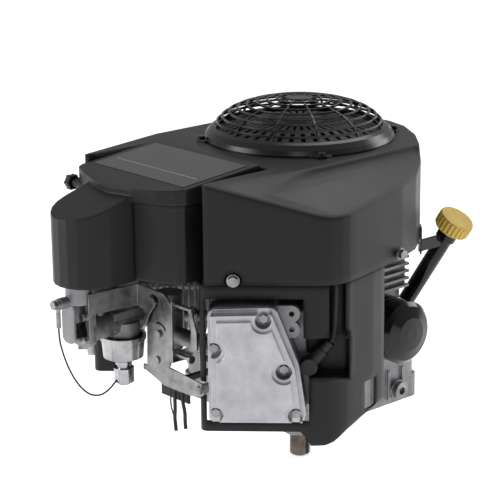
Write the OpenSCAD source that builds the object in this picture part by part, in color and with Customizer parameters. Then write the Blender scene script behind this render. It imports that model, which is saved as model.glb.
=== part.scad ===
// Small vertical-shaft V-twin petrol engine, 90 degree V, air cooled.
// Millimetres. Origin: crankshaft axis on the mounting face. Z up,
// -Y along the bisector of the V (intake side), cylinder 1 towards (+X,-Y).

/* [Which piece] */

/* [Mounting and shaft] */
bolt_circle = 254;      // mounting bolt circle
mount_hole  = 9.5;      // mounting hole
shaft_d     = 25.4;     // output shaft
shaft_len   = 80.2;     // output shaft below the mounting face

/* [Cylinders] */
bore     = 78;
throw_r  = 38;          // half of the 76 mm stroke
cyl_z    = 118;         // axis height of cylinder 1
cyl_step = 20;          // cylinder 2 sits this much higher

/* [Covers] */
wall    = 3;
blow_z0 = 214;
blow_z1 = 325;

/* [Hidden] */
$fn = 48;

pi2 = 3.14159265;
function arc(cx,cy,r,a0,a1,n=5) = [for (i=[0:n]) [cx+r*cos(a0+(a1-a0)*i/n), cy+r*sin(a0+(a1-a0)*i/n)]];
function rrect(x0,x1,y0,y1,r,n=4) = concat(arc(x1-r,y1-r,r,0,90,n),arc(x0+r,y1-r,r,90,180,n),
                                           arc(x0+r,y0+r,r,180,270,n),arc(x1-r,y0+r,r,270,360,n));
function nrm(a,b) = let (d=b-a,l=norm(d)) [d[1]/l,-d[0]/l];
// moves every side of a counter-clockwise outline inwards by k
function inset(p,k) = [for (i=[0:len(p)-1]) let (a=p[(i+len(p)-1)%len(p)],b=p[i],c=p[(i+1)%len(p)],
                       u=nrm(a,b),v=nrm(b,c),m=u+v) b-k*2*m/(m*m)];
module ex(z0,z1,p) translate([0,0,z0]) linear_extrude(z1-z0) polygon(p);
module blk(x0,x1,y0,y1,z0,z1) translate([x0,y0,z0]) cube([x1-x0,y1-y0,z1-z0]);
module cz(x,y,z0,z1,r) translate([x,y,z0]) cylinder(r=r,h=z1-z0);
module cx(x0,x1,y,z,r) translate([x0,y,z]) rotate([0,90,0]) cylinder(r=r,h=x1-x0);
module cy(y0,y1,x,z,r) translate([x,y0,z]) rotate([-90,0,0]) cylinder(r=r,h=y1-y0);
// outline given in (y,z), extruded along x
module exx(x0,x1,p) translate([x0,0,0]) rotate([90,0,90]) linear_extrude(x1-x0) polygon(p);
// outline given in (x,z), extruded along y from y1 back to y0
module exy(y0,y1,p) translate([0,y1,0]) rotate([90,0,0]) linear_extrude(y1-y0) polygon(p);
// cylinder frame: x outwards along the bore, y across (negative y faces the V)
module bank1() rotate([0,0,-45]) children();
module bank2() mirror([1,0,0]) translate([0,0,cyl_step]) rotate([0,0,-45]) children();
module hexhead(r,h) cylinder(r=r,h=h,$fn=6);
// flanged hexagon bolt, head up along +z from the seat at z=0
module bolt(r,len,hr,hh) { translate([0,0,-len]) cylinder(r=r,h=len+0.5); cylinder(r=hr*1.35,h=1.4); translate([0,0,1]) hexhead(hr,hh); }

// swept round tube through hand-set route points
function cr(p0,p1,p2,p3,t) = 0.5*((2*p1)+(p2-p0)*t+(2*p0-5*p1+4*p2-p3)*t*t+(3*p1-p0-3*p2+p3)*t*t*t);
function route(p,k) = let (n=len(p)) concat([for (i=[0:n-2]) for (j=[0:k-1])
   cr(p[max(i-1,0)],p[i],p[i+1],p[min(i+2,n-1)],j/k)],[p[n-1]]);
function unit(v) = v/norm(v);
function tang(q,i) = unit(q[min(i+1,len(q)-1)]-q[max(i-1,0)]);
function side(t,r) = unit(r-t*(r*t));
function refs(q,i,r) = i>=len(q) ? [] : let (s=side(tang(q,i),r)) concat([s],refs(q,i+1,s));
module tube(p,r,k=5,n=8,r0=[1,0.3,0.2]) {
  q=route(p,k); f=refs(q,0,r0); m=len(q);
  pts=[for (i=[0:m-1]) let (t=tang(q,i),u=f[i],v=cross(t,u)) for (j=[0:n-1]) q[i]+r*(u*cos(360*j/n)+v*sin(360*j/n))];
  polyhedron(points=pts, faces=concat([[for (j=[0:n-1]) j]],
     [for (i=[0:m-2]) for (j=[0:n-1]) [i*n+(j+1)%n,i*n+j,(i+1)*n+j,(i+1)*n+(j+1)%n]],
     [[for (j=[0:n-1]) (m-1)*n+n-1-j]]), convexity=4);
}

// gear outline, m module, n teeth
function gear(n,m,ph=0,add=0.85,ded=1.2,wp=0.40,wt=0.18) = let (r=n*m/2,p=360/n)
  [for (i=[0:n-1]) for (q=[[r-ded*m,-0.30],[r,-wp/2],[r+add*m,-wt/2],[r+add*m,wt/2],[r,wp/2],[r-ded*m,0.30]])
    [q[0]*cos(ph+(i+q[1])*p), q[0]*sin(ph+(i+q[1])*p)]];

// ---------- outlines ----------
bl_r = [[97,-140],[97,-228],[97.6,-234],[99.6,-238.5],[103,-240.5],[107,-236.7],[186,-157.7],[193,-149.5],[199,-139.5],
        [202,-128],[202.5,-117],[200.5,-105],[192,-66],[179,-10],[166,26],[146,55],[118,80],[92,103],[50,128.5],[18,137]];
function mir(p) = [for (i=[len(p)-1:-1:0]) [-p[i][0],p[i][1]]];
bl = concat(bl_r,mir(bl_r));
// shroud outline in the cylinder frame
sh_out = [[212,-104],[234,-104],[238,-101.5],[240,-97],[240,22],[239,29.5],[236.5,40.5],[231,50],[223.6,58],[214.5,64.5],[180.5,86.5],[155,99.5]];
sh_in  = [[190,-101],[233,-101],[236,-98.5],[237,-96],[237,21.5],[236,28.5],[233.8,39],[228.8,48],[221.6,55.7],[213,62],[179,84],[136,106]];
// rocker cover outline, (y,z) in the cylinder frame
rk = [[-90,59],[6,59],[11,62],[13,69],[5,126],[-18,186],[-22,190],[-28,191],[-87,189],[-92,186],[-94,181],[-94,63]];
rk_s = [[-94,59],[14,59],[5,126],[-21,191],[-94,189]];
rk_b = [[-33,180],[-87,146],[-11,122],[-86,71],[2,71]];
// air cleaner outlines, counter-clockwise
lid_out = concat([[86,-142],[-86,-142],[-88,-150],[-88,-256]],[[-84,-264],[-62,-274],[-34,-283],[0,-288],[34,-283],[62,-272],[80,-260]],[[86,-250]]);
nose = concat([[33,-262],[-46,-262]],arc(-6.5,-313,39.5,180,360,10));

// ---------- castings ----------
module sump() color([0.62,0.63,0.64]) difference() {
  union() {
    ex(0,60,rrect(-104,104,-104,104,22));
    for (sx=[-1,1],sy=[-1,1]) ex(0,28,[for (a=[0:30:330]) [sx*89.8+15*cos(a), sy*89.8+15*sin(a)]]);
    ex(40,60,arc(0,-81,62,0,360,24));
    for (i=[-3:3]) blk(103,107,i*24-2,i*24+2,6,44);
    cx(100,109,62,17,12.5);
  }
  ex(8,61,rrect(-97,97,-97,97,42));
  ex(46,61,arc(0,-81,57,0,360,24));
  cx(90,110,62,17,6);
  cz(0,0,-1,9,20);
  for (sx=[-1,1],sy=[-1,1]) cz(sx*bolt_circle/2*cos(45),sy*bolt_circle/2*sin(45),-1,29,mount_hole/2);
}

module crankcase() color([0.66,0.67,0.68]) difference() {
  union() {
    cz(0,0,60,198,80);
    ex(60,72.8,arc(0,-81,62,0,360,24));
    cz(0,-81,60,192,29);
    bank1() blk(0,95,-66,52,cyl_z-54,cyl_z+56);
    bank2() blk(0,95,-66,52,cyl_z-54,cyl_z+56);
    ex(60,66,rrect(-104,104,-104,104,22));
    bank1() { blk(60,130,-31,31,196,200); }
    mirror([1,0,0]) bank1() blk(60,130,-31,31,196,200);
    // ribbed block by the oil filter
    blk(40,88,34,83,112,204);
    blk(40,96,34,84,141,204);
    for (z=[143:9:200]) blk(90,103,34,84,z,z+3);
    cx(60,88,44,101,34);
    cz(0,0,190,206,34);
  }
  cz(0,0,59,186,70);
  ex(59,70.2,arc(0,-81,57,0,360,24));
  cz(0,-81,59,176,22);
  cz(0,-81,170,184,8.03);
  bank1() { cx(0,96,0,cyl_z,45); for (s=[-20,20]) cx(60,96,-57.3,cyl_z+s,6); }
  bank2() { cx(0,96,0,cyl_z,45); for (s=[-20,20]) cx(60,96,-57.3,cyl_z+s,6); }
  cz(0,0,180,207,26);
  cz(61,87,59,80,10.2);
  cx(91,110,44,101,38.5);
}

module barrel() difference() {
  union() {
    cx(84,188.5,0,cyl_z,45);
    for (x=[98:7.5:180]) blk(x,x+2.6,-66,60,cyl_z-51.9,cyl_z+57);
    for (s=[-20,20]) cx(95,188.5,-57.3,cyl_z+s,8);
    blk(95,186,-60,-40,cyl_z-24,cyl_z+24);
  }
  cz(57.3,-57.3,20,72.95,62.5);
  cx(83,189,0,cyl_z,bore/2+0.05);
  for (s=[-20,20]) cx(94,189,-57.3,cyl_z+s,5.2);
}
module cylinder_1() color([0.68,0.69,0.70]) bank1() barrel();
module cylinder_2() color([0.68,0.69,0.70]) bank2() barrel();

module head(boss=1) difference() {
  union() {
    blk(188.5,212,-66,50,cyl_z-51.9,cyl_z+57);
    exx(212,243,rk);
    // lug with two holes
    blk(226,234,-20,-3,151.7,188.7); cx(226,234,-3,179.2,9.5); cx(226,234,-3,161.2,9.5);
    for (x=[190,198,206]) blk(x,x+2.5,50,58,cyl_z-50,cyl_z+50);
    if (boss>0) difference() { rotate([0,0,45]) cy(-247,-230,105,97,5.5); blk(242.95,275,-94.05,20,50,200); }
  }
  exx(216,244,inset(rk_s,5));
  cx(188,196.5,0,cyl_z,35);
  cx(188,213,16,cyl_z,6.9);
  for (s=[-20,20]) cx(188,217,-57.3,cyl_z+s,5.2);
  for (z=[179.2,161.2]) cx(225,235,-3,z,3);
  if (boss>0) rotate([0,0,45]) cy(-248,-238,105,97,2.45);
  // intake and exhaust passages
  translate([200.5,-67,cyl_z]) rotate([-90,0,0]) cylinder(r=9.5,h=40);
  translate([200.5,24,cyl_z+34]) rotate([-90,0,0]) cylinder(r=9.5,h=40);
  for (p=rk_b) cx(232,244,p[0],p[1],2.6);
}
module cylinder_head_1() color([0.70,0.71,0.72]) bank1() head();
module cylinder_head_2() color([0.70,0.71,0.72]) bank2() head(0);

module rcover() difference() {
  union() {
    exx(243,249,rk);
    difference() { exx(248,262,inset(rk_s,4)); for (p=rk_b) cx(249,263,p[0],p[1],9); }
    difference() { exx(261,266,inset(rk_s,10.5)); for (p=rk_b) cx(260,267,p[0],p[1],13.3); }
  }
  difference() { exx(242,259,inset(rk_s,8.2)); for (p=rk_b) cx(241,262,p[0],p[1],11.7); }
  for (p=rk_b) cx(242,250,p[0],p[1],2.6);
}
module rocker_cover_1() color([0.78,0.79,0.80]) bank1() rcover();
module rocker_cover_2() color([0.78,0.79,0.80]) bank2() rcover();
module rcb() for (p=rk_b) { cx(234,249,p[0],p[1],2.6); cx(249,250.2,p[0],p[1],6.5); translate([250.2,p[0],p[1]]) rotate([0,90,0]) hexhead(5.2,4.6); }
module rocker_cover_bolts() color([0.80,0.80,0.78]) { bank1() rcb(); bank2() rcb(); }

// ---------- ignition ----------
module plug() { cx(191,212,16,cyl_z,6.9); cx(212,216.5,16,cyl_z,8.4); cx(216.5,225.5,16,cyl_z,5); }
module spark_plugs() color([0.86,0.86,0.84]) { bank1() plug(); bank2() plug(); }
module cap() difference() {
  union() {
    cx(217,236,16,cyl_z,9.4);
    translate([228,16,cyl_z]) rotate([-40,0,0]) { cylinder(r=7.5,h=24); translate([0,0,20]) cylinder(r=6,h=16); }
  }
  cx(216,225.6,16,cyl_z,5);
  translate([228,16,cyl_z]) rotate([-40,0,0]) translate([0,0,24]) cylinder(r=3,h=14);
}
module spark_plug_caps() color([0.09,0.09,0.10]) { bank1() cap(); bank2() cap(); }
// route of one plug lead in the cylinder frame; the first length runs down the cap socket
function lead(k) = [[228,16+24*sin(40),cyl_z+24*cos(40)],[228,16+36*sin(40),cyl_z+36*cos(40)],[227,43,152],[226,44,166],[226,45,190],[225,45,212],[215,40,230],[190,30,236],[166,22,236]];
function off(p,a) = [for (i=[0:len(p)-1]) p[i]+a[i]];
module lead1() tube(lead(0),2.9,4,8,[1,0,0]);
module ignition_leads() color([0.07,0.07,0.08]) { bank1() lead1(); translate([0,0,0]) bank2() lead2(); }
module lead2() tube([for (i=[0:8]) let (q=lead(0)[i]) i<5 ? q : i==5 ? [225,45,200] : i==6 ? [214,40,211] : i==7 ? [190,30,214] : [166,22,212]],2.9,4,8,[1,0,0]);
module coil(z) difference() { union() {
  blk(118,132,-30,30,z-7,z+7); blk(132,166,-16,26,z-12,z+12);
  for (s=[-24,24]) blk(108,120,s-6,s+6,z-7,z+7); }
  }
module ignition_coils() color([0.16,0.16,0.17]) { bank1() coil(236); bank2() coil(216); for (b=[0,1]) mirror([b,0,0]) rotate([0,0,-45]) { for (s=[-25,25]) cz(124,s,200,229,4.5); } }
module stator() color([0.72,0.45,0.25]) difference() {
  union() { cz(0,0,206,212,60); for (i=[0:17]) rotate([0,0,i*20]) { blk(40,74,-4,4,207,219); blk(44,70,-6,6,206.5,219.5); } cz(0,0,206,219,42); }
  cz(0,0,205,220,30);
}

// ---------- cooling covers ----------
g_ph = -31;
// material removed above the two sloping top planes of one side
module top_cut(k) {
  exy(-260,150,[[129+k,328],[129+k,325-k],[143-k*0.6,312-k],[212,285-k],[212,340],[129+k,340]]);
  translate([104,-238,325-k]) rotate([0,0,-11.4]) rotate([0,26,0]) translate([0,-20,0]) cube([120,190,60]);
}
module blower_housing() color([0.085,0.085,0.09]) difference() {
  union() {
    difference() { ex(blow_z0,blow_z1,bl); top_cut(0); mirror([1,0,0]) top_cut(0); }
    for (s=[-1,1]) scale([1,1,1]) mirror([s<0?1:0,0,0]) bank1() cx(232,243,-66,219.2,5);
  }
  difference() { ex(blow_z0-1,blow_z1-wall,inset(bl,wall)); top_cut(wall); mirror([1,0,0]) top_cut(wall); }
  cz(0,0,300,330,104);
  for (s=[0,1]) mirror([s,0,0]) { bank1() { cx(231,250,-66,219,3); cx(240.5,250,-66,219,9.5); } cx(170,200,-17,221,3); }
  for (i=[0:3]) rotate([0,0,g_ph+90*i]) cz(117.5,0,318,326,2.2);
}
module blower_bolts() color([0.78,0.78,0.76]) for (s=[0,1]) mirror([s,0,0]) {
  bank1() { cx(224,240.5,-66,219,3); cx(240.5,242,-66,219,7.4); translate([242,-66,219]) rotate([0,90,0]) hexhead(6,5); }
  cx(165,182.6,-17,221,3); translate([182.6,-17,221]) rotate([0,90,0]) { cylinder(r=7,h=1.5); translate([0,0,1.5]) hexhead(5.6,5); }
}
// dome profile of the guard wires: radius and height
dome = [[101,338],[97,345],[91,351],[83,356.5],[73,361],[62,364.5],[50,367.3],[38,369.4],[26,370.8],[14,371.6]];
module fan_guard() color([0.06,0.06,0.065]) difference() {
  union() {
    rotate_extrude($fn=72) polygon([[104,325.0],[113.5,325.0],[113.5,327],[111,332],[106,337.5],[101,340],[99,340],[99,337.5],[104,334.5],[107,329]]);
    for (p=dome) rotate_extrude($fn=72) polygon([[p[0]-1.2,p[1]-1.6],[p[0]+1.2,p[1]-1.6],[p[0]+1.2,p[1]+0.8],[p[0]-1.2,p[1]+0.8]]);
    cylinder_top();
    for (i=[0:11]) rotate([0,0,g_ph+30*i]) { rib(); blk(109,112.5,-2,2,325,329); }
    for (i=[0:3]) rotate([0,0,g_ph+90*i]) ex(325,328,[[108,-12],[116,-12],[122,-5],[122,5],[116,12],[108,12]]);
  }
  for (i=[0:3]) rotate([0,0,g_ph+90*i]) cz(117.5,0,320,330,2.2);
}
module cylinder_top() cz(0,0,369.8,372,16);
module rib() exy(-1.1,1.1,concat([[99,337.6]],[for (i=[0:9]) [dome[i][0]+1.0,dome[i][1]+0.4]],[[10,371.7],[10,370.2]],[for (i=[9:-1:0]) [dome[i][0]-0.9,dome[i][1]-1.2]]));
module guard_screws() color([0.10,0.10,0.11]) for (i=[0:3]) rotate([0,0,g_ph+90*i]) { cz(117.5,0,316,328,2.2); cz(117.5,0,328,331.5,4.3); }

module shroud(top=198,notch=1) difference() {
  union() {
    difference() { ex(27,213,sh_out); ex(26,214,sh_in); }
    difference() { blk(213,238,12,62,105,155); blk(215,239,14,60,107,153); }
    intersection() { ex(150,213,sh_out); difference() { blk(214,240,36,58,150,213); blk(216,241,38,56,149,214); } }
  }
  // lower edge
  exx(100,250,[[-120,0],[-120,44],[6,44],[13,37],[18,27.5],[34,27.5],[44,31],[58,41],[74,47],[98,54],[112,54],[112,0]]);
  // opening for the rocker cover, and for the plug recess and lead channel
  exx(211,250,[[-97,56],[16,56],[16,107],[10,154],[10,top],[-97,top]]);
  blk(215.2,250,8,60,107,153);
  cx(212,216,16,cyl_z,10);
  blk(216,250,38,56,140,214);
  if (notch>0) blk(200,250,-112,-96,86,102);
  // side window
  rotate([0,0,45]) blk(175,215,-82,-58,52,86);
}
module shroud_1() color([0.085,0.085,0.09]) bank1() shroud();
module shroud_2() color([0.085,0.085,0.09]) mirror([1,0,0]) bank1() difference() { 
  translate([0,0,cyl_step]) shroud(191.4,0); blk(100,260,-130,130,213,260); }

// ---------- air cleaner ----------
module air_cleaner_base() color([0.09,0.09,0.095]) difference() {
  union() { ex(213,300,inset(lid_out,4)); ex(296,301.5,inset(lid_out,3.6));
    ex(214,217,concat([[29,-270],[-42,-270]],arc(-6.5,-313,36,180,360,10))); 
    cx(-96,-70,-262,297,4.9); }
  ex(217,302,inset(lid_out,7));
  blk(-36,24,-292,-270,217,285);
  cz(-20,-318,212,218,12);
  cx(-97,-80,-262,297,3.2);
}
module air_cleaner_cover() color([0.095,0.095,0.10]) difference() {
  union() {
    difference() { ex(302,329,lid_out); translate([0,-142,329]) rotate([5,0,0]) translate([-100,-170,0]) cube([200,171,20]); }
    difference() { ex(212,312,nose); translate([-6,-274,311.5]) rotate([16.5,0,0]) translate([-60,-110,0]) cube([120,124,60]);
      ex(211,301.9,inset(lid_out,3.4)); }
  }
  difference() { ex(301,325,inset(lid_out,3)); translate([0,-142,325]) rotate([5,0,0]) translate([-100,-170,0]) cube([200,171,20]);
     ex(300,330,[[-50,-284],[37,-284],[37,-262],[-50,-262]]); }
  difference() { ex(211,309,concat(arc(-6.5,-313,36.5,180,360,10),[[30,-262],[-43,-262]])); translate([-6,-274,308]) rotate([16.5,0,0]) translate([-60,-110,0]) cube([120,124,60]); }
  }
module cover_label() color([0.05,0.055,0.06]) translate([0,-142,329]) rotate([5,0,0]) translate([0,0,0.005]) ex(0,0.5,rrect(-80,78,-104,-12,1.5));
module cover_knob() color([0.07,0.07,0.075]) { cx(-104,-96,-262,297,8); cx(-97,-81,-262,297,3.15); for (i=[0:5]) translate([-104,-262+7.6*cos(i*60),297+7.6*sin(i*60)]) rotate([0,90,0]) cylinder(r=1.8,h=7.5,$fn=12); }
module air_filter_element() color([0.80,0.72,0.50]) difference() {
  union() { ex(228,240,rrect(-76,76,-232,-152,10)); for (i=[0:16]) blk(-72+i*8.6,-72+i*8.6+5,-228,-156,240,282); ex(282,294,rrect(-76,76,-232,-152,10)); }
  ex(227,283,rrect(-50,50,-212,-172,8));
}

// ---------- intake and carburettor ----------
cxx = -20;
czz = 150;
module intake_elbow() color([0.60,0.61,0.62]) difference() {
  union() {
    cz(cxx,-318,184.1,213.9,14.9);
    cz(cxx,-318,207,213.9,20);
    exy(-330,-316,rrect(-37,-15,137,186,8));
    exy(-316,-311,rrect(-38,-5.2,131,188,8));
    cy(-344.4,-330,-22,187,6.5);
  }
  cz(cxx,-320,144,215,8.4);
  cy(-322,-310,cxx,czz,10);
  cy(-345,-338,-22,187,2.6);
  for (z=[169,142]) cy(-317,-310,-10.5,z,2.5);
}
module elbow_bolts() color([0.80,0.80,0.78]) {
  for (z=[169,142]) { cy(-317.6,-312,-10.5,z,2.4); cy(-317.6,-316,-10.5,z,5.2); translate([-10.5,-317.6,z]) rotate([90,0,0]) hexhead(4.6,4.6); }
  cy(-346.2,-338,-22,187,2.5); translate([-22,-346.2,187]) rotate([90,0,0]) { cylinder(r=6,h=1.6); translate([0,0,1.6]) hexhead(5.2,5); }
}
module carburetor_body() color([0.58,0.58,0.59]) difference() {
  union() {
    cy(-311,-222,cxx,czz,15);
    exy(-311,-306,rrect(-37,-6,133,184,7));
    cz(cxx,-258,133,150,20);
    blk(cxx-16,cxx+14,-280,-230,142,164);
    exy(-227,-222,rrect(cxx-25,cxx+25,135,165,8));
    cz(cxx,-240,160,172,6.5); cz(cxx,-292,158,172,6.5);
  }
  cy(-312,-221,cxx,czz,10);
  cz(cxx,-240,138,173,3.05); cz(cxx,-292,138,173,3.05);
  for (z=[169,142]) cy(-313,-309,-10.5,z,2.45);
}
module float_bowl() color([0.80,0.80,0.79]) difference() {
  union() { cz(cxx,-258,128,133,26.5); translate([cxx,-258,107]) cylinder(r1=23,r2=25,h=21); translate([cxx,-258,102]) cylinder(r1=13,r2=23,h=5); cz(cxx,-258,97,102,9.5); }
  translate([cxx,-258,110]) cylinder(r1=20.5,r2=22.5,h=23.1);
}
module fuel_solenoid() color([0.78,0.78,0.77]) { cz(cxx,-258,76,93,11.5); cz(cxx,-258,93,97,8); cz(cxx,-258,73,76,7); }
module intake_manifold() color([0.50,0.51,0.52]) difference() {
  union() {
    difference() { cx(cxx,126,-188.5,cyl_z,10); bank1() { blk(150,260,-66,60,40,220); blk(211.8,260,-96,60,40,220); } }
    difference() { cx(-126,cxx,-188.5,cyl_z+cyl_step,10); mirror([1,0,0]) bank1() { blk(150,260,-66,60,40,220); blk(211.8,260,-96,60,40,220); } }
    cz(cxx,-188.5,100,168,15);
    cy(-222,-188.5,cxx,czz,12.5);
    exy(-222,-217,rrect(cxx-25,cxx+25,135,165,8));
  }
  cz(cxx,-188.5,104,164,11);
  cy(-223,-188.5,cxx,czz,10);
  cx(cxx,127,-188.5,cyl_z,7.5); cx(-127,cxx,-188.5,cyl_z+cyl_step,7.5);
}
module throttle_shaft() color([0.74,0.74,0.72]) { cz(cxx,-240,140.5,178,3); cz(cxx,-240,172.4,174.4,7); blk(cxx,cxx+13,-243,-237,172.4,174.4); cz(cxx+11,-240,174.4,179,1.6); }
module choke_shaft() color([0.74,0.74,0.72]) { cz(cxx,-292,140.5,178,3); cz(cxx,-292,172.4,174.4,7); blk(cxx,cxx+13,-295,-289,172.4,174.4); cz(cxx+11,-292,174.4,179,1.6); }

// ---------- control bracket ----------
module control_bracket() color([0.80,0.80,0.78]) difference() {
  union() {
    exx(-5,-3,[[-318,172],[-247,169],[-247,194],[-318,196]]);
    blk(-15,-3.5,-305.9,-304.2,174,184);
    exy(-249,-247,[[-5,169],[6,166],[12,157],[13,149],[11,94],[41,84.5],[87,84.5],[106,89],[110,93],[110,100],[106,103],[50,108],[55,118],[57,142],[57,180],[50,188],[43,193],[-5,194]]);
    blk(55,57,-249,-237.5,173,187);
    blk(55,57,-249,-237.5,115,130);
    blk(4.5,12,-249,-247,94.5,101);
  }
  cy(-250,-246,25,179,9);
  cy(-250,-246,34,144,2.6);
  cy(-250,-246,30,112,4.05);
  difference() { cy(-250,-246,34,144,14); cy(-251,-245,34,144,11.4); blk(10,100,-252,-244,120,150); blk(10,29,-252,-244,120,180); }
  cy(-250,-246,105,97,2.5);
  cx(54,58,-243,182,2.4); cx(54,58,-243,124,2.4);
}
module bracket_bolts() color([0.80,0.80,0.78]) {
  cy(-250,-243,34,144,2.6); cy(-252,-249,34,144,4.4);
  cy(-249.5,-240.7,105,97,2.45); cy(-250.4,-249,105,97,5.4); translate([105,-250.4,97]) rotate([90,0,0]) hexhead(4.8,4.2);
  cx(48,84,-243,182,2.4); cx(84,88,-243,182,4.6);
  cx(48,79,-243,124,2.4); cx(79,83,-243,124,4.6);
}
module throttle_lever() color([0.72,0.72,0.70]) { cy(-251,-235,30,112,4); exy(-237,-235,concat(arc(30,112,8,130,330,8),[[60,116],[74,124],[84,134],[84,154],[75,180],[69,180],[75,154],[73,136],[56,128]])); }
module choke_lever() color([0.70,0.70,0.68]) { exy(-253.5,-251.5,concat(arc(25,179,7,-60,240,8),[[17,168],[10,152],[15,150],[23,166]])); cy(-251.5,-240,25,179,3.5); cy(-240,-238,25,179,11); }

// ---------- oil system ----------
module oil_filter() color([0.04,0.04,0.045]) difference() { union() { cx(91,136,44,101,38); cx(88,91,44,101,34.5); translate([136,44,101]) rotate([0,90,0]) cylinder(r1=38,r2=33,h=5); translate([141,44,101]) rotate([0,90,0]) cylinder(r1=33,r2=20,h=4.5); translate([145.5,44,101]) rotate([0,90,0]) cylinder(r1=20,r2=8,h=1.5); }
  cx(87,134,44,101,30); }
// filler tube axis from the sump top to the mouth
ft0 = [61,87,71.5]; ft1 = [145,110,217.8];
fd = ft1-ft0; fl = norm(fd); fa = atan2(fd[1],fd[0]); fb = acos(fd[2]/fl);
module along_tube() translate(ft0) rotate([0,fb,0]) children();
module tubeframe() translate(ft0) rotate([0,0,fa]) rotate([0,fb,0]) children();
module oil_filler_tube() color([0.05,0.05,0.055]) difference() {
  union() { tubeframe() { cylinder(r=10,h=fl); translate([0,0,fl-14]) cylinder(r=12.5,h=14); } cz(61,87,60,72,10.1);
    blk(137,140,62.5,101,198,212);
    translate([139.7,61.0,0]) rotate([0,0,-41.8]) blk(-9,9,0.1,2.4,198,230); }
  tubeframe() translate([0,0,-4]) cylinder(r=8,h=fl+6);
  cz(61,87,50,70,8);
}
module drain_plug() color([0.55,0.56,0.57]) difference() { union() { cx(96,109,62,17,5.9); cx(109,115,62,17,10.5); } translate([110,62,17]) rotate([0,90,0]) cylinder(r=5.2,h=6,$fn=6); }
module oil_cap() color([0.83,0.70,0.30]) tubeframe() difference() {
  union() { translate([0,0,fl+0.2]) cylinder(r=20.5,h=17); for (i=[0:23]) rotate([0,0,i*15]) translate([20.2,0,fl+1.5]) cylinder(r=1.7,h=14,$fn=8); translate([0,0,fl-12]) cylinder(r=7.5,h=12.3); }
  translate([0,0,fl-13]) cylinder(r=3.2,h=22);
}
module dipstick() color([0.78,0.78,0.76]) tubeframe() { translate([0,0,fl-150]) cylinder(r=2,h=140); translate([0,0,fl-12]) cylinder(r=3.2,h=20); translate([0,0,fl-150]) cylinder(r=3.5,h=6); }
module oil_seals() color([0.10,0.08,0.07]) { difference() { cz(0,0,0.5,8,20); cz(0,0,0,9,13.52); } difference() { cz(0,0,196,206,26); cz(0,0,195,207,17.52); } }

// ---------- electrical ----------
st = [-101.8,58.8];
module starter_motor() color([0.10,0.10,0.11]) union() { cz(st[0],st[1],84,176,31); cz(st[0],st[1],176,196,26); cz(st[0],st[1],196,199,16); cz(st[0],st[1],78,84,22); blk(-92,-71,46,58,178,190); }
module voltage_regulator() color([0.20,0.21,0.22]) { blk(-40,30,97,102,66.1,110); for (i=[0:9]) blk(-39+i*7.2,-36+i*7.2,102,112,66.1,110); }
module harness_leads() color([0.11,0.11,0.12]) {
  tube([[42,-235,77.8],[42,-235,68],[41,-234,52],[39,-233,40],[42,-234,26]],2.1,4,8,[1,0,0]);
  tube([[56,-235,77.8],[56,-235,66],[58,-234,52],[57,-233,42],[59,-234,33]],2.1,4,8,[1,0,0]);
  tube([[35,-235,77.8],[35,-235,68],[34,-234,54],[39,-232,36]],0.9,4,8,[1,0,0]);
  blk(30,62,-240,-229.5,78,88);
  blk(12,60,-229.5,-227,62,90);
  blk(14,20,-227,-144,70,76);
}
module wire_terminal() color([0.75,0.73,0.70]) difference() { union() { cy(-346.2,-344.4,-22,187,6); exy(-346.2,-344.4,[[-25,185],[-25,175],[-19,175],[-19,185]]); cz(-22,-345.5,160,176,2.6); } cy(-347,-344,-22,187,2.65); translate([-22,-345.5,159]) cylinder(r=1.1,h=6); }
// loose wire from the ring terminal down and back to the solenoid
wire_route = [[-22,-345.5,164],[-22,-345.5,154],[-22,-343.5,138],[-22,-335,112],[-22,-322,88],[-21,-308,73],[-20,-294,68],[-20,-281,71],[-20,-268.5,80]];
module ground_wire() color([0.05,0.05,0.05]) tube(wire_route,1.05,8,8,[1,0,0]);

// ---------- rotating group ----------
module crankshaft() color([0.60,0.59,0.57]) difference() {
  union() {
    cz(0,0,-78.2,-2,shaft_d/2);
    cz(0,0,-2,60,13.5);
    translate([0,0,-shaft_len]) cylinder(r1=shaft_d/2-2,r2=shaft_d/2,h=2.001);
    cz(0,0,9,92,17.5);
    cz(0,0,92,104,0.01+26); cz(0,0,156,168,26);
    for (z=[92,156]) difference() { cz(0,0,z,z+12,60); for (s=[-1,1]) translate([s*74,-12,z-1]) cylinder(r=48,h=14); }
    cz(0,-throw_r,104,156,18);
    cz(0,0,168,214,17.5);
    cz(0,0,214,262,14);
  }
  blk(shaft_d/2-3.2,shaft_d/2+4,-3.175,3.175,-82,-34);
  cz(0,0,-82,-44,4.3);
  cz(0,-throw_r,100,160,6);
}
module crank_gear() color([0.45,0.45,0.46]) difference() { ex(60.5,69.5,gear(24,2.25,-90+7.5)); cz(0,0,59,71,17.5); }
module camshaft() color([0.50,0.50,0.51]) { cz(0,-81,47,183,8); 
  for (k=[[cyl_z-20,20],[cyl_z+20,110],[cyl_z+cyl_step-20,200],[cyl_z+cyl_step+20,290]]) translate([0,-81,k[0]-4]) linear_extrude(8) polygon(concat(arc(0,0,13,k[1]+50,k[1]+310,12),arc(11*cos(k[1]),11*sin(k[1]),6.5,k[1]-45,k[1]+45,4))); }
module cam_gear() color([0.42,0.42,0.43]) translate([0,-81,0]) difference() { ex(60.5,69.5,gear(48,2.25,90)); cz(0,0,59,71,8); for (i=[0:5]) rotate([0,0,i*60]) cz(29,0,59,71,9); }
module flywheel() color([0.40,0.41,0.42]) difference() { union() { cz(0,0,222,248,99); cz(0,0,222,256,32); } cz(0,0,221,257,14); difference() { cz(0,0,221,240,86); cz(0,0,220,241,34); } }
module ring_gear() color([0.50,0.49,0.47]) difference() { ex(225,236,gear(84,2.5,0,0.9,1.1,0.46,0.24)); translate([0,0,224]) cylinder(r=99,h=13,$fn=240); }
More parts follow.
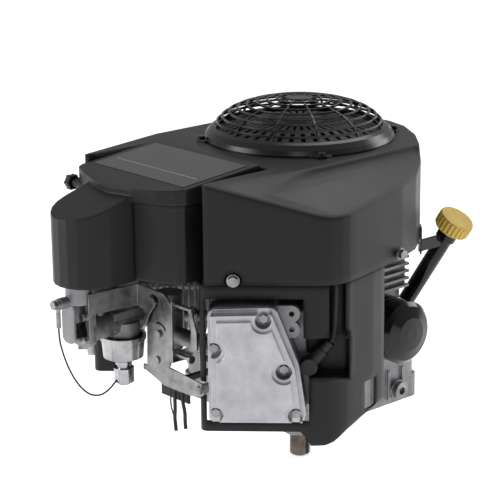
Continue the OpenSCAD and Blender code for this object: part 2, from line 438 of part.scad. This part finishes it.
module cooling_fan() color([0.12,0.12,0.13]) { difference() { cz(0,0,256,260,97); cz(0,0,255,261,14); } 
  for (i=[0:17]) rotate([0,0,i*20]) translate([64,0,258]) rotate([0,0,28]) blk(-20,32,-1.6,1.6,0,46);
  difference() { cz(0,0,258,285,30); cz(0,0,257,286,24); } }
module rotating_screen() color([0.10,0.10,0.11]) difference() {
  union() { cz(0,0,306,309,97); difference() { cz(0,0,309,333,97); cz(0,0,308,334,94); } rotate_extrude($fn=72) polygon([[94,330],[97,333],[60,343],[0,348],[0,345],[60,340]]); }
  cz(0,0,305,310,60);
  for (i=[0:35]) rotate([0,0,i*10]) { blk(30,58,-1.6,1.6,330,350); blk(64,90,-2.6,2.6,325,350); blk(90,99,-3,3,313,328); }
}

// ---------- pistons, shown mid stroke ----------
pin_d = throw_r*cos(45)+sqrt(120*120-pow(throw_r*sin(45),2));
module piston() difference() {
  cx(pin_d-17,pin_d+28,0,cyl_z,bore/2-0.02);
  cx(pin_d-18,pin_d+20,0,cyl_z,bore/2-6);
  translate([pin_d,-50,cyl_z]) rotate([-90,0,0]) cylinder(r=10,h=100);
  for (x=[23.5,18.5,13.5]) difference() { cx(pin_d+x,pin_d+x+2,0,cyl_z,50); cx(pin_d+x-1,pin_d+x+3,0,cyl_z,bore/2-1.2); }
}
module piston_1() color([0.72,0.72,0.71]) bank1() piston();
module piston_2() color([0.72,0.72,0.71]) bank2() piston();
module wrist_pin_1() color([0.5,0.5,0.5]) bank1() wp();
module wrist_pin_2() color([0.5,0.5,0.5]) bank2() wp();
module wp() translate([pin_d,-37,cyl_z]) rotate([-90,0,0]) difference() { cylinder(r=10,h=74); translate([0,0,-1]) cylinder(r=6,h=76); }

sump();
crankcase();
cylinder_1();
cylinder_2();
cylinder_head_1();
cylinder_head_2();
rocker_cover_1();
rocker_cover_2();
rocker_cover_bolts();
spark_plugs();
spark_plug_caps();
ignition_leads();
ignition_coils();
stator();
blower_housing();
blower_bolts();
fan_guard();
guard_screws();
shroud_1();
shroud_2();
air_cleaner_base();
intake_elbow();
elbow_bolts();
carburetor_body();
float_bowl();
fuel_solenoid();
intake_manifold();
control_bracket();
bracket_bolts();
oil_filter();
oil_filler_tube();
drain_plug();
starter_motor();
voltage_regulator();
oil_seals();
harness_leads();
wire_terminal();
ground_wire();
crankshaft();
crank_gear();
flywheel();
ring_gear();
cooling_fan();
rotating_screen();
camshaft();
cam_gear();
piston_1();
piston_2();
wrist_pin_1();
wrist_pin_2();
throttle_shaft();
choke_shaft();
throttle_lever();
choke_lever();
oil_cap();
dipstick();
air_cleaner_cover();
cover_label();
cover_knob();
air_filter_element();
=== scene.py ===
import math
import bpy, bmesh
from mathutils import Vector, Matrix


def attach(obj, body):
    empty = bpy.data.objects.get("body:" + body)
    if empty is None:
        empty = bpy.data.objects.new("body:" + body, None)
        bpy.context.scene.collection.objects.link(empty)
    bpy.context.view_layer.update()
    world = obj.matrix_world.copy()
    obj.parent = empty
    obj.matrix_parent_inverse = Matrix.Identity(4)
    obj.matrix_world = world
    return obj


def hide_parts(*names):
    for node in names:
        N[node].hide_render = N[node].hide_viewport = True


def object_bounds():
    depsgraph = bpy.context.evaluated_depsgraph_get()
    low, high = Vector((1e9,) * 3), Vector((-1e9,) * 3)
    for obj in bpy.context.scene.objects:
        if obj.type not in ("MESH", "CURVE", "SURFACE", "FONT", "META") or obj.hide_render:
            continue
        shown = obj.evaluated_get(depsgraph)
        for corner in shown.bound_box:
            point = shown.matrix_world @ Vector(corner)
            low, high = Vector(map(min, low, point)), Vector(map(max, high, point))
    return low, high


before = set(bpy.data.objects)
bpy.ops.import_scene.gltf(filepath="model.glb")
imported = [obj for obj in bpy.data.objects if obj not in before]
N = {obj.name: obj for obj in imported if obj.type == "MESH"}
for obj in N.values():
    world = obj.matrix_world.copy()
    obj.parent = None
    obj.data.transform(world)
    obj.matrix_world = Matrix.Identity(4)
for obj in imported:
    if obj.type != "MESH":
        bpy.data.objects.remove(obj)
box_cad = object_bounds()

# ------------------------------------------------------------------ camera
az, pitch, roll = math.radians(48), math.radians(16.3), math.radians(-0.6)
back = Vector((math.sin(az) * math.cos(pitch), -math.cos(az) * math.cos(pitch), math.sin(pitch)))
right = Vector((math.cos(az), math.sin(az), 0))
up = back.cross(right)
r2 = right * math.cos(roll) + up * math.sin(roll)
u2 = -right * math.sin(roll) + up * math.cos(roll)
m = Matrix((r2, u2, back)).transposed().to_4x4()
m.translation = Vector((1.5570, -1.4824, 0.8126))
cd = bpy.data.cameras.new("camera")
cd.sensor_fit, cd.sensor_width, cd.lens = "HORIZONTAL", 36, 133.2
cd.clip_start, cd.clip_end = 0.05, 60
cam = bpy.data.objects.new("camera", cd)
cam.matrix_world = m
bpy.context.scene.collection.objects.link(cam)
bpy.context.scene.camera = cam

# --------------------------------------------------------------- materials
def lin(c):
    return tuple(x / 12.92 if x <= 0.04045 else ((x + 0.055) / 1.055) ** 2.4 for x in c)

def material(name, c1, c2, metallic=0.0, rough=(0.4, 0.5), grain=1400.0, bump=0.1, depth=0.0002, big=25.0,
             round_r=0.001, edge_highlight=None, edge_highlight_amount=0.5, coat=0.0, brushed=None, rings=0.0, spec=0.5, painted_top_light=None):
    """Two tones mixed by cloudy noise, fine grain in the bump, rounded edges with a painted edge highlight on them,
    optional painted top light on upward faces.
    """
    mt = bpy.data.materials.new(name)
    mt.use_nodes = True
    nt = mt.node_tree
    n, l = nt.nodes, nt.links
    b = n["Principled BSDF"]
    b.inputs["Metallic"].default_value = metallic
    b.inputs["Specular IOR Level"].default_value = spec
    if coat:
        b.inputs["Coat Weight"].default_value = coat
        b.inputs["Coat Roughness"].default_value = 0.08
    tc = n.new("ShaderNodeTexCoord")
    cloud = n.new("ShaderNodeTexNoise")
    cloud.inputs["Scale"].default_value = big
    cloud.inputs["Detail"].default_value = 6
    cloud.inputs["Roughness"].default_value = 0.6
    l.new(tc.outputs["Object"], cloud.inputs["Vector"])
    ramp = n.new("ShaderNodeValToRGB")
    ramp.color_ramp.elements[0].position, ramp.color_ramp.elements[1].position = 0.35, 0.68
    ramp.color_ramp.elements[0].color = (*lin(c1), 1)
    ramp.color_ramp.elements[1].color = (*lin(c2), 1)
    l.new(cloud.outputs["Fac"], ramp.inputs["Fac"])
    col = ramp.outputs["Color"]
    vec = tc.outputs["Object"]
    if brushed:
        mp = n.new("ShaderNodeMapping")
        mp.inputs["Scale"].default_value = brushed
        l.new(vec, mp.inputs["Vector"])
        vec = mp.outputs["Vector"]
    fine = n.new("ShaderNodeTexNoise")
    fine.inputs["Scale"].default_value = grain
    fine.inputs["Detail"].default_value = 3
    fine.inputs["Roughness"].default_value = 0.55
    l.new(vec, fine.inputs["Vector"])
    height = fine.outputs["Fac"]
    if rings:
        w = n.new("ShaderNodeTexWave")
        w.bands_direction = "Z"
        w.inputs["Scale"].default_value = rings
        w.inputs["Distortion"].default_value = 0.6
        l.new(tc.outputs["Object"], w.inputs["Vector"])
        mx = n.new("ShaderNodeMath"); mx.operation = "MULTIPLY_ADD"
        l.new(w.outputs["Fac"], mx.inputs[0]); mx.inputs[1].default_value = 0.8
        l.new(height, mx.inputs[2])
        height = mx.outputs[0]
    bev = n.new("ShaderNodeBevel")
    bev.samples = 6
    bev.inputs["Radius"].default_value = round_r
    bp = n.new("ShaderNodeBump")
    bp.inputs["Strength"].default_value = bump
    bp.inputs["Distance"].default_value = depth
    l.new(height, bp.inputs["Height"])
    l.new(bev.outputs["Normal"], bp.inputs["Normal"])
    l.new(bp.outputs["Normal"], b.inputs["Normal"])
    rr = n.new("ShaderNodeMapRange")
    rr.inputs["From Min"].default_value, rr.inputs["From Max"].default_value = 0.3, 0.7
    rr.inputs["To Min"].default_value, rr.inputs["To Max"].default_value = rough
    l.new(cloud.outputs["Fac"], rr.inputs["Value"])
    l.new(rr.outputs["Result"], b.inputs["Roughness"])
    # painted edge highlight: edges, where the bevel normal turns away from the face normal, are lightened towards a
    # pale colour, broken up by the cloud noise
    if edge_highlight:
        geo = n.new("ShaderNodeNewGeometry")
        dot = n.new("ShaderNodeVectorMath"); dot.operation = "DOT_PRODUCT"
        l.new(bev.outputs["Normal"], dot.inputs[0]); l.new(geo.outputs["Normal"], dot.inputs[1])
        edge_highlight_mask = n.new("ShaderNodeMapRange")
        edge_highlight_mask.inputs["From Min"].default_value, edge_highlight_mask.inputs["From Max"].default_value = 0.995, 0.85
        edge_highlight_mask.inputs["To Min"].default_value, edge_highlight_mask.inputs["To Max"].default_value = 0.0, edge_highlight_amount
        l.new(dot.outputs["Value"], edge_highlight_mask.inputs["Value"])
        mul = n.new("ShaderNodeMath"); mul.operation = "MULTIPLY"
        l.new(edge_highlight_mask.outputs["Result"], mul.inputs[0]); l.new(cloud.outputs["Fac"], mul.inputs[1])
        mix = n.new("ShaderNodeMix"); mix.data_type = "RGBA"
        l.new(mul.outputs[0], mix.inputs["Factor"]); l.new(col, mix.inputs["A"])
        mix.inputs["B"].default_value = (*lin(edge_highlight), 1)
        col = mix.outputs["Result"]
    # painted top light: faces turned upwards are lightened towards a paler colour, standing in for light falling from
    # above
    if painted_top_light:
        geo2 = n.new("ShaderNodeNewGeometry")
        sep = n.new("ShaderNodeSeparateXYZ")
        l.new(geo2.outputs["Normal"], sep.inputs[0])
        painted_top_light_mask = n.new("ShaderNodeMapRange")
        painted_top_light_mask.inputs["From Min"].default_value, painted_top_light_mask.inputs["From Max"].default_value = 0.4, 1.0
        painted_top_light_mask.inputs["To Min"].default_value, painted_top_light_mask.inputs["To Max"].default_value = 0.0, painted_top_light[1]
        l.new(sep.outputs["Z"], painted_top_light_mask.inputs["Value"])
        mix = n.new("ShaderNodeMix"); mix.data_type = "RGBA"
        l.new(painted_top_light_mask.outputs["Result"], mix.inputs["Factor"]); l.new(col, mix.inputs["A"])
        mix.inputs["B"].default_value = (*lin(painted_top_light[0]), 1)
        col = mix.outputs["Result"]
    l.new(col, b.inputs["Base Color"])
    return mt

# each material's pale edge colour and amount paint an edge highlight onto its rounded edges
M = {
    # the moulded and shell materials also lighten their upward faces with a painted top light
    "moulded": material("moulded_black", (0.065, 0.065, 0.067), (0.092, 0.092, 0.094), rough=(0.40, 0.48), grain=2600, bump=0.10,
                        depth=0.00012, big=18, round_r=0.0035, edge_highlight=(0.30, 0.30, 0.31), edge_highlight_amount=0.35, painted_top_light=((0.17, 0.17, 0.175), 0.35), spec=0.30),
    "shell": material("shell_black", (0.058, 0.058, 0.060), (0.085, 0.085, 0.087), rough=(0.38, 0.47), grain=2600, bump=0.10,
                      depth=0.00012, big=16, round_r=0.010, edge_highlight=(0.24, 0.24, 0.25), edge_highlight_amount=0.25, painted_top_light=((0.17, 0.17, 0.175), 0.35), spec=0.30),
    "guard": material("guard_black", (0.04, 0.04, 0.042), (0.06, 0.06, 0.062), rough=(0.22, 0.32), grain=2000, bump=0.06,
                      depth=0.0001, big=30, round_r=0.0008, edge_highlight=(0.32, 0.32, 0.33), edge_highlight_amount=0.3),
    "screen": material("screen_black", (0.06, 0.06, 0.065), (0.08, 0.08, 0.085), rough=(0.4, 0.55), grain=1600, bump=0.1, round_r=0.0006,
                       edge_highlight=(0.2, 0.2, 0.2), edge_highlight_amount=0.3),
    "gloss": material("enamel_black", (0.03, 0.03, 0.032), (0.05, 0.05, 0.052), rough=(0.10, 0.17), grain=900, bump=0.03,
                      depth=0.0001, big=35, round_r=0.0015, edge_highlight=(0.3, 0.3, 0.3), edge_highlight_amount=0.25, coat=0.1, spec=0.32),
    "rubber": material("rubber", (0.07, 0.07, 0.073), (0.11, 0.11, 0.11), rough=(0.5, 0.66), grain=2200, bump=0.15, round_r=0.0008,
                       edge_highlight=(0.25, 0.25, 0.25), edge_highlight_amount=0.3),
    "cast": material("cast_aluminium", (0.48, 0.48, 0.49), (0.60, 0.60, 0.61), metallic=0.8, rough=(0.40, 0.56), grain=750, bump=0.45,
                     depth=0.0004, big=40, round_r=0.0012, edge_highlight=(0.88, 0.88, 0.88), edge_highlight_amount=0.8),
    "lid": material("cover_aluminium", (0.63, 0.63, 0.65), (0.76, 0.76, 0.775), metallic=0.75, rough=(0.32, 0.44), grain=1100, bump=0.25,
                    depth=0.0003, big=30, round_r=0.0016, edge_highlight=(0.95, 0.95, 0.95), edge_highlight_amount=0.7),
    "zinc": material("zinc_plate", (0.46, 0.46, 0.46), (0.62, 0.62, 0.62), metallic=0.95, rough=(0.24, 0.38), grain=600, bump=0.10,
                     depth=0.0001, big=60, round_r=0.0006, edge_highlight=(0.95, 0.95, 0.92), edge_highlight_amount=0.6, brushed=(1, 1, 6)),
    "bright": material("bright_metal", (0.56, 0.56, 0.57), (0.72, 0.72, 0.73), metallic=1.0, rough=(0.14, 0.24), grain=500, bump=0.05,
                       depth=0.0001, big=50, round_r=0.0008, edge_highlight=(0.97, 0.97, 0.97), edge_highlight_amount=0.5, brushed=(1, 1, 8)),
    "carb": material("carburetor_cast", (0.40, 0.40, 0.395), (0.55, 0.545, 0.54), metallic=0.75, rough=(0.36, 0.52), grain=900, bump=0.4,
                     depth=0.0003, big=70, round_r=0.001, edge_highlight=(0.85, 0.85, 0.83), edge_highlight_amount=0.8),
    "shaft": material("machined_steel", (0.33, 0.29, 0.265), (0.48, 0.43, 0.40), metallic=0.9, rough=(0.26, 0.42), grain=500, bump=0.12,
                      depth=0.0001, big=60, round_r=0.0006, edge_highlight=(0.8, 0.78, 0.75), edge_highlight_amount=0.5, rings=260),
    "iron": material("dark_iron", (0.34, 0.34, 0.35), (0.45, 0.45, 0.45), metallic=0.8, rough=(0.4, 0.6), grain=600, bump=0.4, round_r=0.0008),
    "yellow": material("yellow_plastic", (0.80, 0.66, 0.26), (0.87, 0.74, 0.36), rough=(0.42, 0.52), grain=1800, bump=0.12, depth=0.0002,
                       big=40, round_r=0.0009, edge_highlight=(0.93, 0.85, 0.55), edge_highlight_amount=0.4),
    "label": material("label_panel", (0.115, 0.12, 0.13), (0.135, 0.14, 0.15), rough=(0.24, 0.34), grain=3000, bump=0.04, depth=0.0001,
                      big=25, round_r=0.0003, coat=0.3),
    "line": material("label_line", (0.55, 0.56, 0.58), (0.64, 0.65, 0.67), metallic=0.2, rough=(0.3, 0.4), grain=3000, bump=0.04, round_r=0.0002),
    "paper": material("filter_paper", (0.78, 0.70, 0.48), (0.86, 0.79, 0.58), rough=(0.8, 0.9), grain=1500, bump=0.4, round_r=0.0004),
    "copper": material("copper_wire", (0.62, 0.36, 0.20), (0.76, 0.48, 0.28), metallic=0.9, rough=(0.3, 0.45), grain=900, bump=0.3, rings=420),
    "ceramic": material("ceramic_white", (0.82, 0.82, 0.80), (0.90, 0.90, 0.88), rough=(0.15, 0.25), grain=1200, bump=0.05),
    "wire": material("wire_jacket", (0.05, 0.05, 0.055), (0.09, 0.09, 0.09), rough=(0.35, 0.5), grain=2500, bump=0.12, round_r=0.0002),
}
use = {
    "shell": ["blower_housing", "shroud_1", "shroud_2"],
    "moulded": ["air_cleaner_cover", "air_cleaner_base", "cover_knob", "cooling_fan"],
    "guard": ["fan_guard", "guard_screws"],
    "screen": ["rotating_screen", "ignition_coils"],
    "gloss": ["oil_filter", "oil_filler_tube", "starter_motor"],
    "rubber": ["spark_plug_caps", "ignition_leads", "oil_seals", "harness_leads"],
    "cast": ["sump", "crankcase", "cylinder_1", "cylinder_2", "cylinder_head_1", "cylinder_head_2", "intake_elbow", "intake_manifold", "voltage_regulator"],
    "lid": ["rocker_cover_1", "rocker_cover_2"],
    "zinc": ["rocker_cover_bolts", "blower_bolts", "elbow_bolts", "control_bracket", "bracket_bolts", "throttle_lever", "choke_lever",
             "wire_terminal", "drain_plug", "dipstick"],
    "bright": ["float_bowl", "fuel_solenoid", "throttle_shaft", "choke_shaft", "wrist_pin_1", "wrist_pin_2", "piston_1", "piston_2"],
    "carb": ["carburetor_body"],
    "shaft": ["crankshaft", "camshaft"],
    "iron": ["flywheel", "crank_gear", "cam_gear", "ring_gear"],
    "yellow": ["oil_cap"], "label": ["cover_label"], "paper": ["air_filter_element"], "copper": ["stator"], "ceramic": ["spark_plugs"],
}
for k, names in use.items():
    for x in names:
        o = N[x]
        o.data.materials.clear()
        o.data.materials.append(M[k])

# smooth shading inside each CAD face, whose own borders stay sharp
gn = bpy.data.node_groups.new("smooth_faces", "GeometryNodeTree")
gn.interface.new_socket("Geometry", in_out="INPUT", socket_type="NodeSocketGeometry")
gn.interface.new_socket("Geometry", in_out="OUTPUT", socket_type="NodeSocketGeometry")
gi, go, gs = gn.nodes.new("NodeGroupInput"), gn.nodes.new("NodeGroupOutput"), gn.nodes.new("GeometryNodeSetShadeSmooth")
gs.inputs["Shade Smooth"].default_value = True
gn.links.new(gi.outputs[0], gs.inputs["Geometry"])
gn.links.new(gs.outputs[0], go.inputs[0])
for o in N.values():
    o.modifiers.new("smooth_faces", "NODES").node_group = gn

# ----------------------------------------------------- loose wire as a cord
route = [(-22, -345.5, 164), (-22, -345.5, 154), (-22, -343.5, 138), (-22, -335, 112), (-22, -322, 88), (-21, -308, 73), (-20, -294, 68), (-20, -281, 71), (-20, -268.5, 80)]
P = [Vector(p) / 1000 for p in route]
def smooth(P, k=5):
    out = []
    for i in range(len(P) - 1):
        a, b, c, d = P[max(i - 1, 0)], P[i], P[i + 1], P[min(i + 2, len(P) - 1)]
        for j in range(k):
            t = j / k
            out.append(0.5 * ((2 * b) + (c - a) * t + (2 * a - 5 * b + 4 * c - d) * t * t + (3 * b - 3 * c + d - a) * t ** 3))
    return out + [P[-1]]
S = smooth(P)
cu = bpy.data.curves.new("ground_lead", "CURVE")
cu.dimensions = "3D"
sp = cu.splines.new("POLY")
sp.points.add(len(S) - 1)
for q, p in zip(sp.points, S):
    q.co = (*p, 1)
cu.bevel_depth, cu.bevel_resolution, cu.use_fill_caps = 0.00105, 5, True
cu.materials.append(M["wire"])
lead = bpy.data.objects.new("ground_lead", cu)
bpy.context.scene.collection.objects.link(lead)
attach(lead, "engine")
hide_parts("ground_wire")

# --------------------------------------------------------- label line strip
def mesh_piece(name, verts, faces, mat, body):
    me = bpy.data.meshes.new(name)
    me.from_pydata(verts, [], faces)
    me.materials.append(mat)
    o = bpy.data.objects.new(name, me)
    bpy.context.scene.collection.objects.link(o)
    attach(o, body)
    return o
c5, s5 = math.cos(math.radians(5)), math.sin(math.radians(5))
def top(x, d, h):
    """A point on the sloping cover top: x across, d forward of the rear edge, h above the surface, in mm."""
    y, z = -d, h
    return ((x) / 1000, (-142 + y * c5 - z * s5) / 1000, (329 + y * s5 + z * c5) / 1000)
def strip(name, x0, x1, d0, d1, h0=0.45, h1=0.62, mat="line"):
    v = [top(x, d, h) for h in (h0, h1) for x, d in ((x0, d0), (x1, d0), (x1, d1), (x0, d1))]
    f = [(0, 1, 2, 3), (7, 6, 5, 4), (0, 4, 5, 1), (1, 5, 6, 2), (2, 6, 7, 3), (3, 7, 4, 0)]
    return mesh_piece(name, v, f, M[mat], "cleaner_cover")
strip("label_rule", -70, 68, 76.5, 77.6)

# -------------------------------------------------------------- floor, light
fz = box_cad[0][2] - 0.001
me = bpy.data.meshes.new("floor")
bm = bmesh.new()
bmesh.ops.create_circle(bm, cap_ends=True, segments=96, radius=14)
bmesh.ops.translate(bm, verts=bm.verts, vec=(0, 0, fz))
bm.to_mesh(me); bm.free()
floor = bpy.data.objects.new("floor", me)
fm = material("floor_paper", (0.93, 0.93, 0.93), (0.95, 0.95, 0.95), rough=(0.8, 0.9), grain=300, bump=0.02, big=2, round_r=0.0001)
fb = fm.node_tree.nodes["Principled BSDF"]
fb.inputs["Emission Color"].default_value = (1, 1, 1, 1)
fb.inputs["Emission Strength"].default_value = 0.70
me.materials.append(fm)
bpy.context.scene.collection.objects.link(floor)

w = bpy.data.worlds.new("studio")
bpy.context.scene.world = w
w.use_nodes = True
wn, wl = w.node_tree.nodes, w.node_tree.links
wt = wn.new("ShaderNodeTexCoord")
wd = wn.new("ShaderNodeVectorMath"); wd.operation = "DOT_PRODUCT"
wd.inputs[1].default_value = (0.743, -0.669, 0.0)
wr = wn.new("ShaderNodeValToRGB")
wr.color_ramp.elements[0].position, wr.color_ramp.elements[0].color = 0.35, (0.80, 0.80, 0.81, 1)
wr.color_ramp.elements[1].position, wr.color_ramp.elements[1].color = 0.85, (0.22, 0.22, 0.23, 1)
wl.new(wt.outputs["Generated"], wd.inputs[0])
wl.new(wd.outputs["Value"], wr.inputs["Fac"])
wl.new(wr.outputs["Color"], wn["Background"].inputs["Color"])
wn["Background"].inputs["Strength"].default_value = 0.5
def area(name, pos, target, size, power):
    ld = bpy.data.lights.new(name, "AREA")
    ld.shape, ld.size, ld.energy = "SQUARE", size, power
    o = bpy.data.objects.new(name, ld)
    o.location = pos
    o.rotation_euler = (Vector(target) - Vector(pos)).to_track_quat("-Z", "Y").to_euler()
    bpy.context.scene.collection.objects.link(o)
area("left", (-0.95, -1.75, 0.9), (0, -0.1, 0.15), 1.0, 18)
area("right", (0.55, 1.95, 1.1), (0.1, 0, 0.15), 1.0, 14)
area("top", (-0.30, 1.10, 2.0), (0.05, -0.05, 0.3), 1.3, 13)
area("front", (1.9, -1.9, 1.9), (0, -0.1, 0.1), 0.7, 6)
bpy.context.scene.view_settings.view_transform = "Standard"
